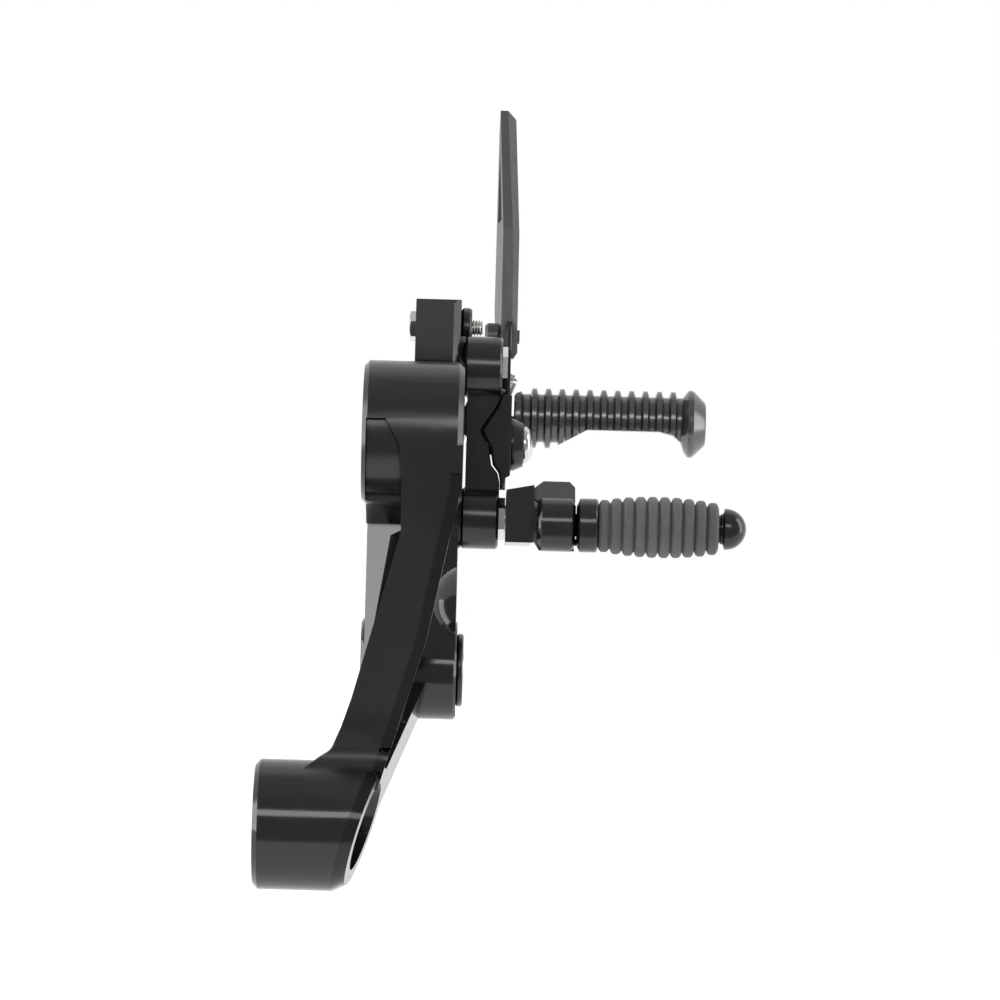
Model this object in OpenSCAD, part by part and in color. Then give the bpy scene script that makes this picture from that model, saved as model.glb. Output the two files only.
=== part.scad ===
// Left-hand rear set for a motorcycle: frame bracket, peg plate, adjustable folding foot peg,
// gear lever and heel guard
// X points outboard, Y to the rear and Z up. The origin is the centre of the upper frame mount's
// inboard face.

/* [Upper frame mount] */
// Radius of the upper boss
upper_r = 26; // [23:0.5:30]
// Length of the upper boss along the bolt
upper_w = 36; // [33:0.5:42]
// Diameter of both frame bolt bores
frame_bore_d = 10.5; // [8.5:0.1:12.5]
// Diameter of the recess for the upper bolt's head
head_recess_d = 19; // [16:0.5:24]
// Depth of that recess
head_recess = 11; // [6:0.5:16]
// Edge chamfer of the bosses
boss_chamfer = 1.8; // [0.5:0.1:3]

/* [Lower frame mount] */
// Radius of the lower boss
lower_r = 23.5; // [21:0.5:27]
// How far the lower bore lies under the upper one
lower_drop = 142; // [134:1:152]
// How far the lower inboard face lies inboard of the upper one
lower_in = 35.3; // [30:0.5:40]
// Outboard end of the lower boss on its axis
lower_end = 4.6; // [1:0.1:7]
// Wall that carries the lower bolt
lower_wall = 7; // [5:0.5:12]
// Radius of the lower boss's pocket
lower_pocket_r = 15.75; // [12:0.25:17.5]
// Lean of the lower boss's outboard face
lower_lean = 16.5; // [12:0.5:20]
// Turn of that face in plan
lower_turn = 6.8; // [3:0.2:9]

/* [Bracket arms] */
// Depth of the front arm from its front face
front_arm_t = 12.5; // [11:0.5:14]
// Rake of the arm's front face, its foot further back
arm_rake = 9.4; // [7:0.2:10]
// Radius of the hollow corner where that face meets the lower boss
corner_r = 8; // [4:0.1:10]
// Number of milled steps along the front arm's edge
edge_steps = 5; // [3:1:7]
// Width of one milled step
step_w = 0.8; // [0.5:0.05:1]
// Height of one milled step on the lower boss's rim
rim_step = 0.45; // [0.3:0.05:0.6]
// Depth of one milled step
step_d = 0.7; // [0.4:0.05:1]
// Inboard face of the lower spine
spine_in = 1.3; // [0.5:0.1:4]
// Outboard face of the spine
spine_face = 34.8; // [33.5:0.1:35]
// Bevel along the spine's inboard front edge
spine_bevel = 8; // [5:0.5:10]
// Half width of the lower arm
lower_arm_r = 9.5; // [7:0.5:12]

/* [Rear boss] */
// Radius of the rear boss
rear_r = 18.5; // [16:0.5:21]
// Place of the rear boss behind the upper bore
rear_y = 55; // [52:0.5:60]
// How far the rear boss lies under the upper bore
rear_drop = 86.6; // [82:0.5:90]
// Length of the rear boss
rear_w = 35.4; // [34.8:0.1:36.5]
// Radius of the flanged washer on it
flange_r = 13.5; // [11:0.25:15]
// Thickness of the flanged washer
flange_t = 2.4; // [2.1:0.1:3.4]

/* [Ear and stud] */
// Inboard face of the ear
ear_in = 17.2; // [14:0.2:20]
// Thickness of the ear
ear_t = 16.4; // [13:0.2:17]
// Place of the stud behind the upper bore
ear_y = 58; // [55:0.5:61]
// Height of the stud
ear_z = 40.5; // [38:0.5:43]
// Radius of the ear round the stud
ear_r = 10.4; // [8.5:0.1:11]
// Radius of the spacer on the stud
spacer_r = 7.4; // [6:0.1:8.5]
// Thickness of that spacer
spacer_t = 4; // [2.5:0.1:5]
// Thread that stands out past the spacer
stud_end = 4; // [2:0.5:6]

/* [Peg plate] */
// Inboard face of the plate's bosses
plate_in = 35.6; // [35.2:0.1:36.4]
// Thickness of the plate
plate_t = 13.8; // [13:0.1:15]
// Radius of the plate's bosses and of their pads
plate_boss_r = 11.3; // [10.5:0.1:11.6]
// Place of the bosses behind the upper bore
plate_y = 40; // [39:0.5:42]
// Height of the top boss
plate_top_z = 25.5; // [24:0.5:27]
// Height of the bottom boss, which is also the lever's pivot
pivot_z = -30; // [-32:0.5:-29]
// Rear edge of the plate
plate_rear = 64; // [62:0.5:65]
// Gap between the plate's web and the bracket's spine
plate_gap = 2; // [1.2:0.1:2.4]

/* [Peg carrier] */
// Outboard face of the carrier
carrier_face = 53.2; // [52:0.1:54]
// Place of the clamp bolt behind the upper bore
clamp_y = 51; // [49:0.5:53]
// Height of the clamp bolt
clamp_z = -2.5; // [-4:0.5:0]
// Thickness of the tab that carries the heel guard
tab_t = 1.8; // [1.5:0.1:2]

/* [Foot peg] */
// Place of the peg behind the upper bore
peg_y = 78; // [77:0.5:80]
// Height of the peg
peg_z = 8; // [7:0.1:8.6]
// Inboard end of the peg's collar
peg_root = 54.1; // [53.8:0.1:55]
// Outboard tip of the peg
peg_tip = 126; // [124:0.5:128]
// Radius over the ribs
peg_r = 11.2; // [10.6:0.1:11.6]
// Radius between the ribs
peg_core_r = 9; // [8.2:0.1:9.8]
// Number of ribs
peg_ribs = 11; // [9:1:11]
// Distance from rib to rib
peg_pitch = 5.2; // [4.9:0.05:5.3]
// Distance of the fold pin inboard of the peg's collar
pin_back = 10.1; // [9.6:0.1:11]
// Lean of the fold pin, its top outboard
pin_lean = 25; // [20:1:28]
// Radius of the fold pin
pin_r = 3; // [2.5:0.1:3.3]
// Height of the peg's tongue
tongue_t = 9; // [7.5:0.1:10]

/* [Gear lever] */
// Inboard face of the lever
lever_in = 51.9; // [51.7:0.1:52.4]
// Thickness of the lever
lever_t = 9.4; // [8.5:0.1:10.5]
// Radius of the lever's hub
hub_r = 9.8; // [9:0.1:10.5]
// Half height of the lever's waist
waist_r = 6.8; // [5.5:0.1:8]
// Place of the toe peg ahead of the upper bore
toe_y = 110; // [104:1:118]
// Height of the toe peg
toe_z = -30.9; // [-32.1:0.2:-29.9]
// Radius of the pivot's shoulder
shoulder_r = 5; // [4:0.1:5.5]

/* [Toe peg] */
// Radius of the hinge block and the collar
toe_block_r = 9.1; // [8.5:0.1:10]
// Outboard end of the hinge block
block_end = 75.5; // [75:0.1:76.5]
// Outboard end of the collar
collar_end = 83.1; // [82:0.1:84.5]
// Number of rubber ribs
toe_ribs = 10; // [8:1:12]
// Distance from rubber rib to rubber rib
toe_pitch = 4.09; // [3.8:0.01:4.3]
// Largest radius of the rubber
toe_r = 10.4; // [9.8:0.1:11.5]
// Radius of the ball end
ball_r = 6.95; // [6:0.05:7.8]
// Radius of the hinge pin of the toe peg
toe_pin_r = 2.5; // [2:0.1:2.8]

/* [Heel guard] */
// Thickness of the guard
guard_t = 6.3; // [5.6:0.1:7]
// Front edge of the guard behind the upper bore
guard_y = 90; // [88:0.5:94]
// Length of the guard
guard_len = 52; // [48:1:58]
// Height of the top of the guard
guard_top = 128; // [120:0.5:134]
// Height at which the guard's front edge starts to slope rearward
guard_kink = 80; // [74:0.5:86]
// Bevel along the guard's outboard front edge
guard_bevel = 2.2; // [1.5:0.1:2.6]
// Height of the guard's foot
guard_foot = 30.5; // [30:0.5:33]
// Width of the bars round the cut-out
guard_bar = 10; // [8:0.5:12]
// Turn of the guard in plan, its rear edge inboard
guard_turn = 3.2; // [1:0.2:3.6]

/* [Hidden] */
$fn = 64;

// clearances and thread sizes
fit = 0.05;
seat = 0.3;
m8 = 4;
m6 = 3;
m5 = 2.5;
m8_clear = 4.3;
eps = 0.5;
far = 200;
thread_depth = 17;

// places that follow from the sizes
arm_n = [-cos(arm_rake), -sin(arm_rake)];
arm_d = [sin(arm_rake), -cos(arm_rake)];
arm_start = upper_r * arm_n;
corner_e = arm_start + corner_r * arm_n + [0, lower_drop];
corner_q = corner_e * arm_d;
corner_k = -corner_q - sqrt(pow(corner_q, 2) - corner_e * corner_e + pow(lower_r + corner_r, 2));
corner = arm_start + corner_r * arm_n + corner_k * arm_d;
ear_front = plate_y - plate_boss_r - 0.5;
ear_out = ear_in + ear_t;
stud_tip = ear_out + spacer_t + stud_end;
plate_out = plate_in + plate_t;
plate_hex = 2 * plate_boss_r - 9.2;
plate_web = spine_face + plate_gap;
plate_front = plate_y - 4.5;
stud_hex_t = lever_in - plate_out - 0.2;
lever_out = lever_in + lever_t;
toe_pin_x = block_end - 5.3;
toe_pin_y = -toe_y + 16;
collar_in = block_end + seat;
knuckle_rear = toe_pin_y + 8;
knuckle_top = toe_z + 14.6;
rubber_in = collar_end + 0.1;
rubber_out = rubber_in + toe_ribs * toe_pitch;
pin_x = peg_root - pin_back;
cheek_in = tongue_t / 2 + 0.2;
cheek_out = cheek_in + 5.3;
spring_top = cheek_out + 6.6;
slot_gap = 0.2;
hanger_depth = 15;
rear_foot = -rear_drop - rear_r;
rear_hollow = [rear_w - 11, rear_foot - 6.3];
tab_low = guard_foot - 1;
tab_out = carrier_face - 0.8;
tab_in = tab_out - tab_t;
guard_in = carrier_face - 4.6;

// outboard edge of the front arm, from top to bottom
arm_edge = [[36.2, -14], [35.6, -20.2], [24.8, -74.4], [12.9, -114.1], [0.3, -15 - lower_drop]];
// inboard edge of the front arm, from bottom to top
arm_inner = [[-22, -lower_drop], [-20.5, -123.2], [-17.4, -120.7], [-12.7, -117.2], [-9.2, -114.9],
    [-6.9, -112],
    [-1.5, -95.8],
    [14.8, -35.8], [14.6, -16.4], [13.6, -4.3], [8.7, 4.3]];
// section of the groove in the peg plate, which runs front to rear
groove = [[plate_out + eps, 17.2], [plate_out - 1.7, 11.5], [plate_out - 7.6, 2.2],
    [plate_out - 4.2, -3.9],
    [plate_out - 3.2, -10.4],
    [plate_out - 0.8, -13.3], [plate_out + eps, -18.5]];

// straight bar between x0 and x1 from a side outline of [y, z] points
module side(x0, x1, points) {
    translate([x0, 0, 0])
        rotate([90, 0, 90])
            linear_extrude(x1 - x0)
                polygon(points);
}

// straight bar between y0 and y1 from a front outline of [x, z] points
module front(y0, y1, points) {
    translate([0, y1, 0])
        rotate([90, 0, 0])
            linear_extrude(y1 - y0)
                polygon(points);
}

// straight bar between z0 and z1 from a plan outline of [x, y] points
module plan(z0, z1, points) {
    translate([0, 0, z0])
        linear_extrude(z1 - z0)
            polygon(points);
}

// round bar along X at [y, z]
module round_x(x0, x1, r, at = [0, 0]) {
    translate([x0, at[0], at[1]])
        rotate([0, 90, 0])
            cylinder(h = x1 - x0, r = r);
}

// turned piece along X at [y, z], from [radius, x] points
module turned_x(points, at = [0, 0]) {
    translate([0, at[0], at[1]])
        rotate([0, 90, 0])
            rotate_extrude()
                polygon(points);
}

// round bar along X with chamfered ends
module boss_x(x0, x1, r, c, at = [0, 0]) {
    turned_x([[0, x0], [r - c, x0], [r, x0 + c], [r, x1 - c], [r - c, x1], [0, x1]], at);
}

// hexagonal bar along X at [y, z], af is the size across its flats
module hex_x(x0, x1, af, at = [0, 0]) {
    translate([x0, at[0], at[1]])
        rotate([0, 90, 0])
            cylinder(h = x1 - x0, r = af / sqrt(3), $fn = 6);
}

// plate between two circles of radius ra at a and rb at b, with straight tangent sides
module link_x(x0, x1, a, ra, b, rb) {
    d = norm(b - a);
    t = atan2(b[1] - a[1], b[0] - a[0]);
    f = acos((ra - rb) / d);
    round_x(x0, x1, ra, a);
    round_x(x0, x1, rb, b);
    side(x0, x1, [
        a + ra * [cos(t + f), sin(t + f)],
        a + ra * [cos(t - f), sin(t - f)],
        b + rb * [cos(t - f), sin(t - f)],
        b + rb * [cos(t + f), sin(t + f)]
    ]);
}

// everything outboard of the lower boss's leaning face, moved out by shift
module beyond_lean(shift) {
    rotate([0, 0, -lower_turn])
        translate([lower_end + shift, 0, -lower_drop])
            rotate([0, lower_lean, 0])
                translate([0, -far, -far])
                    cube([far, 2 * far, 3 * far]);
}

// frame of the fold pin: its Z runs along the pin, its origin is on the peg's axis
module at_pin() {
    translate([pin_x, peg_y, peg_z])
        rotate([0, pin_lean, 0])
            children();
}

// front arm of the bracket with its stepped edge, raked between the two bosses
module front_arm() {
    back = arm_start - front_arm_t * arm_n;
    foot = corner - corner_r * arm_n;
    boss_touch = [0, -lower_drop] + lower_r / (lower_r + corner_r) * (corner + [0, lower_drop]);
    difference() {
        intersection() {
            front(-far, far, concat([[36.2, 0]], arm_edge, arm_inner));
            difference() {
                side(-lower_in, upper_w + eps, [
                    arm_start, foot, boss_touch, [0, -lower_drop],
                        foot - front_arm_t * arm_n - [0, 8], back
                ]);
                round_x(-far, far, corner_r, corner);
            }
        }
        // milled steps along the outboard edge, down the flat front and round the hollow corner
        for (k = [0 : edge_steps - 1])
            intersection() {
                front(-far, far, concat(
                    [for (p = arm_edge) [p[0] - (edge_steps - k) * step_w, p[1]]],
                    [[far, -15 - lower_drop], [far, -14]]
                ));
                union() {
                    translate([0, arm_start[0], arm_start[1]])
                        rotate([arm_rake, 0, 0])
                            translate([-far, -1, -corner_k])
                                cube([2 * far, 1.6 + k * step_d, corner_k + 5]);
                    round_x(-far, far, corner_r + 0.6 + k * step_d, corner);
                }
            }
    }
}

// arm from the rear boss to the lower boss, between two leaning faces
module lower_arm() {
    difference() {
        link_x(-lower_in + 8, rear_w - 2, [rear_y, -rear_drop], lower_arm_r,
            [0, -lower_drop], lower_arm_r + 1);
        difference() {
            beyond_lean(0);
            // hollow corner under the rear boss
            difference() {
                front(rear_y - 4, far, [
                    [8, rear_foot + 9], [rear_w - 2.5, rear_foot + 9], [rear_w - 2.5, rear_foot + 0.2],
                    [rear_hollow[0], rear_hollow[1] + 5], [rear_hollow[0] - 4.6, rear_hollow[1] + 1.9],
                    [8, rear_hollow[1] - 3]
                ]);
                translate([rear_hollow[0], far, rear_hollow[1]])
                    rotate([90, 0, 0])
                        cylinder(h = 2 * far, r = 5);
            }
        }
        rotate([0, 0, -lower_turn])
            translate([lower_end - 23, 0, -lower_drop])
                rotate([0, lower_lean, 0])
                    translate([-far, -far, -far])
                        cube([far, 2 * far, 3 * far]);
    }
}

module frame_bracket() {
    top = [plate_y, plate_top_z];
    low = [plate_y, pivot_z];
    rear = [rear_y, -rear_drop];
    ear = [ear_y, ear_z];
    color([0.09, 0.09, 0.09])
        difference() {
            union() {
                // upper boss, recessed beside the arm's inboard edge
                difference() {
                    boss_x(0, upper_w, upper_r, boss_chamfer);
                    difference() {
                        front(-far, -8, [
                            [1.4, 4.8], [8.4, 4.8], [8.7, 4.3], [13.6, -4.3], [14.6, -16.4],
                            [14.8, -35.8],
                            [1.4, -35.8]
                        ]);
                        round_x(-1, far, upper_r - 2.2);
                    }
                }
                // lower boss, whose leaning end has the cutter's steps round its rim
                for (k = [0 : edge_steps])
                    difference() {
                        boss_x(-lower_in, upper_w, lower_r - k * rim_step, boss_chamfer, [0,
                            -lower_drop]);
                        beyond_lean((k - edge_steps) * step_w);
                    }
                front_arm();
                lower_arm();
                // webs from the upper boss to the spine
                link_x(ear_in, spine_face, [0, 0], upper_r - 9, top, plate_boss_r - 6);
                link_x(spine_in, spine_face, [0, 0], upper_r - 7, low, plate_boss_r - 0.5);
                side(ear_in, spine_face, [[0, 0], top, low]);
                // spine with its ear
                link_x(ear_in, ear_out, top, plate_boss_r - 1.2, ear, ear_r);
                side(ear_in, ear_out, [
                    [ear_front, 8], [ear_front, ear_z + ear_r - 2.6],
                    [ear_front + 1.4, ear_z + ear_r - 1.2],
                    [ear_y, ear_z + ear_r], ear, top, [plate_y, 8]
                ]);
                link_x(spine_in, spine_face, low, plate_boss_r - 0.5, rear, rear_r - 2);
                boss_x(0, rear_w, rear_r, boss_chamfer / 2, rear);
                // pads under the peg plate
                round_x(ear_in, plate_in, plate_boss_r, top);
                round_x(ear_in, plate_in, plate_boss_r, low);
            }
            // frame bolts
            round_x(-eps, upper_w + eps, frame_bore_d / 2);
            round_x(upper_w - head_recess, upper_w + eps, head_recess_d / 2);
            round_x(-lower_in - eps, far, frame_bore_d / 2, [0, -lower_drop]);
            round_x(-lower_in + lower_wall, far, lower_pocket_r, [0, -lower_drop]);
            // threads and clearance holes of the bracket's own bolts
            round_x(-eps, hanger_depth, m8 + fit, rear);
            round_x(hanger_depth + 2, rear_w + eps, m8 + fit, rear);
            round_x(ear_in - eps, ear_out + eps, m6 + fit, ear);
            round_x(plate_in - thread_depth, plate_in + eps, m8 + fit, top);
            round_x(plate_in - thread_depth, plate_in + eps, m8 + fit, low);
            // spot face under the rear boss's flange
            round_x(rear_w, far, flange_r + 0.6, rear);
            // broad bevel along the spine's inboard front edge
            plan(-rear_drop - rear_r, pivot_z - 3, [
                [spine_in - 5, plate_y - 4 + spine_bevel], [spine_in - 5, 10],
                [spine_in + plate_y - 19 + spine_bevel, 10]
            ]);
            // bevel along the ear's outboard front edge
            plan(ear_z - 20, far, [
                [ear_out - 2.5, ear_front - eps], [ear_out - 2.5, ear_front], [ear_out, ear_front + 2.5],
                [far, ear_front + 2.5], [far, ear_front - eps]
            ]);
            // ball milled hollow beside the plate's top boss
            translate([ear_out + 6.6, ear_front - 1, plate_top_z + 6.6])
                sphere(r = 8);
            // ball milled hollow in the front of the spine
            translate([spine_face + 5, rear_y - 27, -rear_drop + 25])
                sphere(r = 15);
        }
}

module rear_boss_flange() {
    color([0.1, 0.1, 0.1])
        difference() {
            boss_x(rear_w, rear_w + flange_t, flange_r, 0.6, [rear_y, -rear_drop]);
            round_x(rear_w - eps, far, m8_clear, [rear_y, -rear_drop]);
            round_x(rear_w + 0.8, far, 7.2, [rear_y, -rear_drop]);
        }
}

module rear_boss_bolt() {
    at = [rear_y, -rear_drop];
    color([0.8, 0.8, 0.8])
        difference() {
            union() {
                boss_x(rear_w + 0.8, rear_w + flange_t + 0.4, 6.8, 0.5, at);
                round_x(hanger_depth + 2.4, rear_w + 1, m8, at);
            }
            hex_x(rear_w + 1.2, far, 5, at);
        }
}

module stud_bolt() {
    at = [ear_y, ear_z];
    color([0.8, 0.8, 0.8]) {
        hex_x(ear_in - 2.8, ear_in, 10, at);
        boss_x(ear_in - 0.1, stud_tip, m6, 0.4, at);
    }
}

module stud_spacer() {
    at = [ear_y, ear_z];
    color([0.1, 0.1, 0.1])
        difference() {
            boss_x(ear_out, ear_out + spacer_t, spacer_r, 0.9, at);
            round_x(ear_out - eps, far, m6 + fit, at);
        }
}

module peg_plate() {
    top = [plate_y, plate_top_z];
    low = [plate_y, pivot_z];
    color([0.09, 0.09, 0.09])
        difference() {
            union() {
                boss_x(plate_in, plate_out, plate_boss_r, 0.9, top);
                boss_x(plate_in, plate_out, plate_boss_r, 0.9, low);
                side(plate_web, plate_out, [
                    [plate_front, plate_top_z - 6], [plate_y, plate_top_z + plate_boss_r - 1],
                    [plate_y + 8, plate_top_z + 7], [plate_rear, plate_top_z - 6],
                    [plate_rear, pivot_z + 8], [plate_y + 8, pivot_z - 7.5],
                    [plate_y, pivot_z - plate_boss_r + 1], [plate_front, pivot_z + 6]
                ]);
            }
            front(0, far, groove);
            round_x(plate_in - eps, far, m8_clear, top);
            round_x(plate_in - eps, far, m8_clear, low);
            round_x(plate_in - eps, far, m8 + fit, [clamp_y, clamp_z]);
        }
}

module plate_bolt() {
    at = [plate_y, plate_top_z];
    color([0.8, 0.8, 0.8]) {
        hex_x(plate_out, plate_out + 1.9, plate_hex, at);
        round_x(plate_in - thread_depth + 1, plate_out + 0.1, m8, at);
    }
}

module pivot_stud() {
    at = [plate_y, pivot_z];
    color([0.8, 0.8, 0.8])
        difference() {
            union() {
                hex_x(plate_out, plate_out + stud_hex_t, plate_hex, at);
                round_x(plate_in - thread_depth + 1, plate_out + 0.1, m8, at);
                round_x(plate_out + stud_hex_t - 0.1, lever_out + 0.2, shoulder_r, at);
            }
            round_x(lever_out - 12, far, m5 + fit, at);
        }
}

module lever_bush() {
    at = [plate_y, pivot_z];
    color([0.7, 0.55, 0.3])
        difference() {
            round_x(lever_in, lever_out, shoulder_r + 1.2, at);
            round_x(0, far, shoulder_r + fit, at);
        }
}

module pivot_washer() {
    at = [plate_y, pivot_z];
    color([0.8, 0.8, 0.8])
        difference() {
            round_x(lever_out + 0.2, lever_out + 1.2, 7.5, at);
            round_x(0, far, m5 + 0.15, at);
        }
}

module pivot_screw() {
    at = [plate_y, pivot_z];
    color([0.8, 0.8, 0.8])
        difference() {
            union() {
                boss_x(lever_out + 1.2, lever_out + 3.6, 4.4, 0.5, at);
                round_x(lever_out - 10.5, lever_out + 1.3, m5, at);
            }
            hex_x(lever_out + 2, far, 3, at);
        }
}

module gear_lever() {
    pivot = [plate_y, pivot_z];
    mid = [-40, pivot_z + 0.5];
    tip_y = -toe_y - 7.5;
    tip_low = toe_z - 6.3;
    tip_top = toe_z + 11.4;
    color([0.09, 0.09, 0.09])
        difference() {
            union() {
                link_x(lever_in, lever_out, pivot, hub_r, mid, waist_r);
                side(lever_in, lever_out, [
                    [tip_y, tip_low], [tip_y, tip_top], [tip_y + 12, tip_top], mid + [0, waist_r],
                    mid - [0, waist_r], [tip_y + 12, tip_low]
                ]);
                front(tip_y, tip_y + 12, [
                    [lever_in, tip_top - 3], [lever_in, tip_top], [lever_out, tip_top + 1.8],
                    [lever_out, tip_top - 3]
                ]);
            }
            round_x(0, far, shoulder_r + 1.2 + fit / 2, pivot);
            // shift rod thread
            round_x(0, far, m6, [plate_y - 32, pivot_z]);
            // bolt of the hinge block, with its head sunk in
            round_x(0, far, m6 + fit, [-toe_y, toe_z]);
            round_x(0, lever_in + 4.5, 5.4, [-toe_y, toe_z]);
            // hollow that lightens the arm
            translate([0, mid[0], mid[1]])
                round_x(0, lever_in + 2, 4);
        }
}

module toe_block_bolt() {
    at = [-toe_y, toe_z];
    color([0.15, 0.15, 0.15])
        difference() {
            union() {
                round_x(lever_in + 0.7, lever_in + 4.5, 5, at);
                round_x(lever_in + 4.4, block_end - 5.5, m6, at);
            }
            hex_x(0, lever_in + 3, 5, at);
        }
}

module toe_hinge_block() {
    at = [-toe_y, toe_z];
    color([0.1, 0.1, 0.1])
        difference() {
            union() {
                turned_x([
                    [0, lever_out], [toe_block_r - 1, lever_out], [toe_block_r - 1.6, lever_out + 1.2],
                    [toe_block_r, lever_out + 2.8], [toe_block_r, block_end - 1.2],
                    [toe_block_r - 2.6, block_end], [0, block_end]
                ], at);
                // knuckle behind the round body
                side(lever_out, block_end - 0.3, [
                    [-toe_y - 1, knuckle_top - 6.4], [-toe_y + 8, knuckle_top],
                    [knuckle_rear - 3, knuckle_top], [knuckle_rear, knuckle_top - 3],
                    [knuckle_rear, toe_z - 6], [knuckle_rear - 3, toe_z - toe_block_r],
                    [-toe_y, toe_z - toe_block_r + 0.2]
                ]);
            }
            // slot for the tongue
            translate([lever_out + 4.2, -toe_y + 8.4, toe_z - 4])
                cube([far, far, 8]);
            // bevels on the inboard bottom and top corners
            front(-far, 0, [
                [lever_out - 1, toe_z - 4.4], [lever_out + 2.4, toe_z - toe_block_r - 0.2],
                [lever_out + 2.4, -far], [lever_out - 1, -far]
            ]);
            front(-far, 0, [
                [lever_out - 1, knuckle_top - 3.2], [lever_out + 3.2, knuckle_top],
                [lever_out + 3.2, far],
                [lever_out - 1, far]
            ]);
            // bevel on the outboard top corner
            translate([block_end - 2.2, -far - toe_y, knuckle_top])
                rotate([0, 45, 0])
                    cube([far, 2 * far, far]);
            translate([toe_pin_x, toe_pin_y, -far])
                cylinder(h = 2 * far, r = toe_pin_r + fit);
            round_x(0, block_end - 5, m6 + fit, at);
            round_x(block_end - 4.6, far, 1.75, at - [0, 6]);
        }
}

module toe_hinge_pin() {
    color([0.8, 0.8, 0.8])
        translate([toe_pin_x, toe_pin_y, toe_z - toe_block_r + 0.5])
            cylinder(h = knuckle_top - toe_z + toe_block_r - 1, r = toe_pin_r);
}

module detent_ball() {
    color([0.8, 0.8, 0.8])
        translate([block_end - 0.9, -toe_y, toe_z - 6])
            sphere(r = 1.6);
}

module detent_spring() {
    color([0.7, 0.7, 0.7])
        difference() {
            round_x(block_end - 4.5, block_end - 2.6, 1.6, [-toe_y, toe_z - 6]);
            round_x(0, far, 0.9, [-toe_y, toe_z - 6]);
        }
}

module toe_peg_arm() {
    at = [-toe_y, toe_z];
    color([0.1, 0.1, 0.1])
        difference() {
            union() {
                turned_x([
                    [0, collar_in], [toe_block_r - 2.6, collar_in], [toe_block_r, collar_in + 1.2],
                    [toe_block_r, collar_end - 0.7], [toe_block_r - 0.7, collar_end], [0, collar_end]
                ], at);
                plan(toe_z - 3.8, toe_z + 3.8, [
                    [toe_pin_x, toe_pin_y - 4.4], [collar_in + 1.5, -toe_y + 8.6],
                    [collar_in + 1.5, -toe_y],
                    [collar_end - 1, -toe_y], [collar_end - 1, -toe_y + 10], [toe_pin_x, toe_pin_y + 4.4]
                ]);
                translate([toe_pin_x, toe_pin_y, toe_z - 3.8])
                    cylinder(h = 7.6, r = 4.4);
            }
            translate([toe_pin_x, toe_pin_y, -far])
                cylinder(h = 2 * far, r = toe_pin_r + fit);
            round_x(collar_in + 2, far, m5 + fit, at);
            // dimple for the detent ball
            translate([block_end - 0.9, -toe_y, toe_z - 6])
                sphere(r = 1.8);
        }
}

module toe_peg_core() {
    at = [-toe_y, toe_z];
    ball_x = rubber_out + 2.2;
    color([0.08, 0.08, 0.08]) {
        round_x(collar_in + 2.5, collar_end + 0.1, m5, at);
        round_x(collar_end, rubber_out + 0.6, 4.8, at);
        turned_x([
            [0, rubber_out + 0.5], [5.2, rubber_out + 0.5], [5.2, rubber_out + 1.2],
            [ball_r, rubber_out + 1.7], [ball_r, ball_x], [0, ball_x]
        ], at);
        intersection() {
            translate([ball_x, at[0], at[1]])
                sphere(r = ball_r);
            round_x(ball_x - 0.1, far, ball_r + 1, at);
        }
    }
}

// radius of the rubber's crests at rib i, a barrel that is slimmer at both ends
function rubber_r(i) = toe_r - 1.55 * pow(abs(i - (toe_ribs - 1) / 2) / ((toe_ribs - 1) / 2), 2.2);

module toe_rubber() {
    color([0.3, 0.3, 0.3])
        difference() {
            turned_x(concat(
                [[0, rubber_in]],
                [for (i = [0 : toe_ribs - 1]) for (p = [[1.7, 0], [1.1, 0.35], [0.25, 0.7], [0, 1.3],
                [0, 2.6],
                    [0.25, 3.2], [1.1, 3.55], [1.7, 3.8]])
                    [rubber_r(i) - p[0], rubber_in + i * toe_pitch + p[1]]],
                [[0, rubber_out - 0.29]]
            ), [-toe_y, toe_z]);
            round_x(0, far, 4.8 + fit, [-toe_y, toe_z]);
        }
}

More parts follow.
